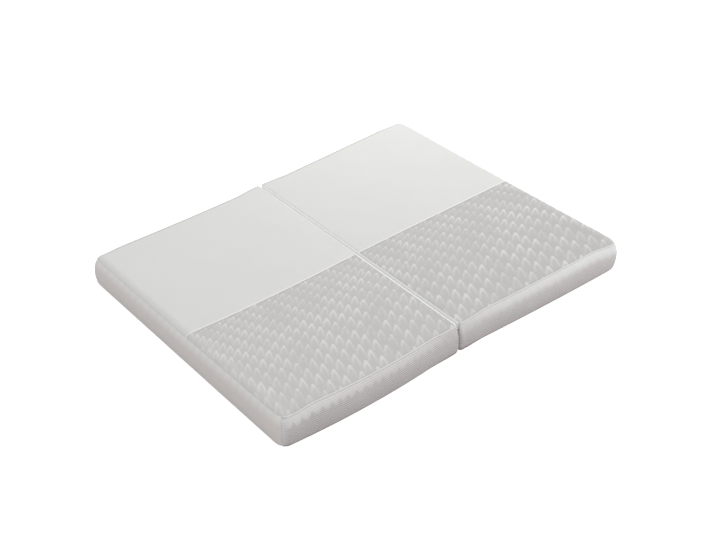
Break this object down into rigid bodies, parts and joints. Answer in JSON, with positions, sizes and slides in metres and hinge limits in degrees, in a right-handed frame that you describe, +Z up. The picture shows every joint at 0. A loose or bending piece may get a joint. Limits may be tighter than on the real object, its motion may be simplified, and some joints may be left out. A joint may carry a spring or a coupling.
{
  "type": "folding foam mattress",
  "caption": "Folding foam mattress laid open: filled panels hinged along the top of a fold, plain and arch-patterned knit tops, ribbed borders.",
  "frame": {"origin": "on the floor, at the middle of the underside of the mattress laid open", "axes": "+X along the length across both panels, +Y from the patterned front edge to the plain back edge, +Z up"},
  "size_m": [2.0265, 1.5654, 0.1847],
  "materials": {
    "under_cloth": "plain knit, matte",
    "plain_knit": "smooth off-white knit, matte",
    "patterned_knit": "grey knit with rows of small pointed arches, matte",
    "ribbed_knit": "knit in fine level ribs, matte",
    "end_knit": "smooth warm grey knit, matte",
    "piping_cloth": "light binding cloth, matte"
  },
  "bodies": {
    "root": {"left_filled_panel": "under_cloth", "left_plain_top": "plain_knit", "left_patterned_top": "patterned_knit", "left_end_cloth": "end_knit", "left_front_border": "ribbed_knit", "left_front_piping": "piping_cloth", "left_back_border": "ribbed_knit", "left_back_piping": "piping_cloth", "right_filled_panel": "under_cloth", "right_plain_top": "plain_knit", "right_patterned_top": "patterned_knit", "right_end_cloth": "end_knit", "right_front_border": "ribbed_knit", "right_front_piping": "piping_cloth", "right_back_border": "ribbed_knit", "right_back_piping": "piping_cloth", "hinge_strip": "piping_cloth"}
  },
  "joints": []
}
